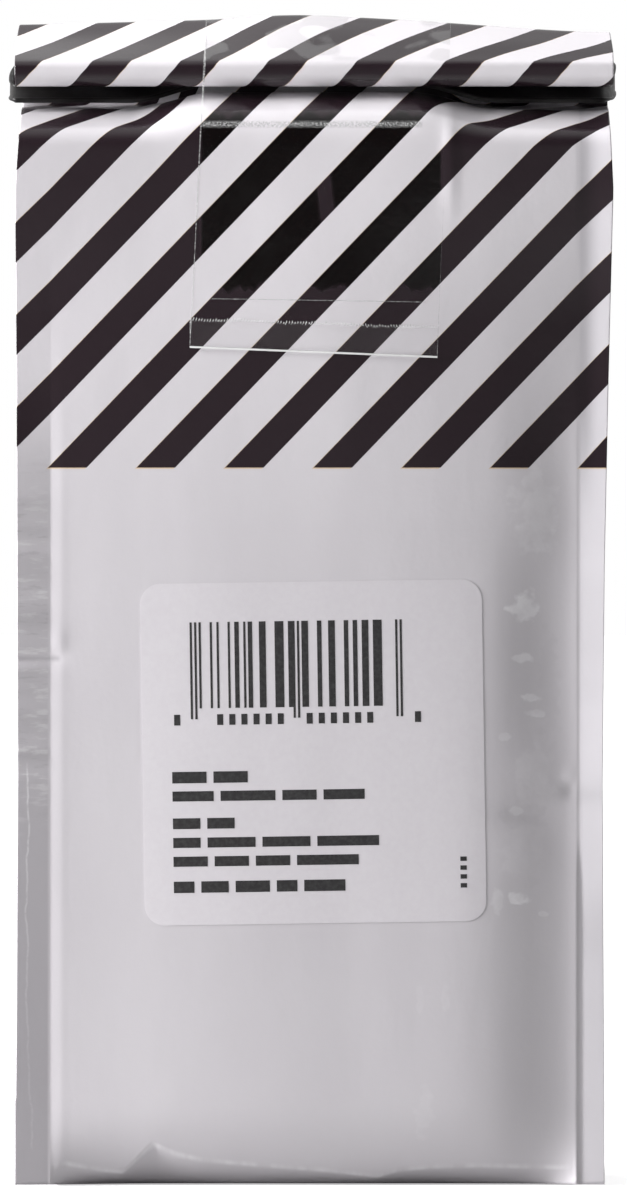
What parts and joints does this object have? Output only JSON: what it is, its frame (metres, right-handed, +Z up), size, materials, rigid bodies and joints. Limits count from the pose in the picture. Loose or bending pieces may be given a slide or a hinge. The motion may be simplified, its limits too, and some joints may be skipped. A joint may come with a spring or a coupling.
{
  "type": "coffee bag",
  "caption": "Filled side-gusset coffee bag, its striped top rolled down over a tin tie and held by a strip of clear tape, with a plain product label.",
  "frame": {"origin": "centre of the bag's footprint on the surface it stands on, midway along its width and depth", "axes": "+Z up, +X across the width to the right as seen from the labelled panel, +Y away from the labelled panel"},
  "size_m": [0.091, 0.0626, 0.1754],
  "materials": {
    "film": "satin white laminated film with black diagonal stripes on its upper third",
    "tie": "black plastic-covered flat wire",
    "tape": "clear glossy adhesive tape",
    "label": "smooth white label paper with plain black bars"
  },
  "bodies": {
    "root": {"bag": "film", "tin_tie": "tie", "tape": "tape", "label": "label"}
  },
  "joints": []
}
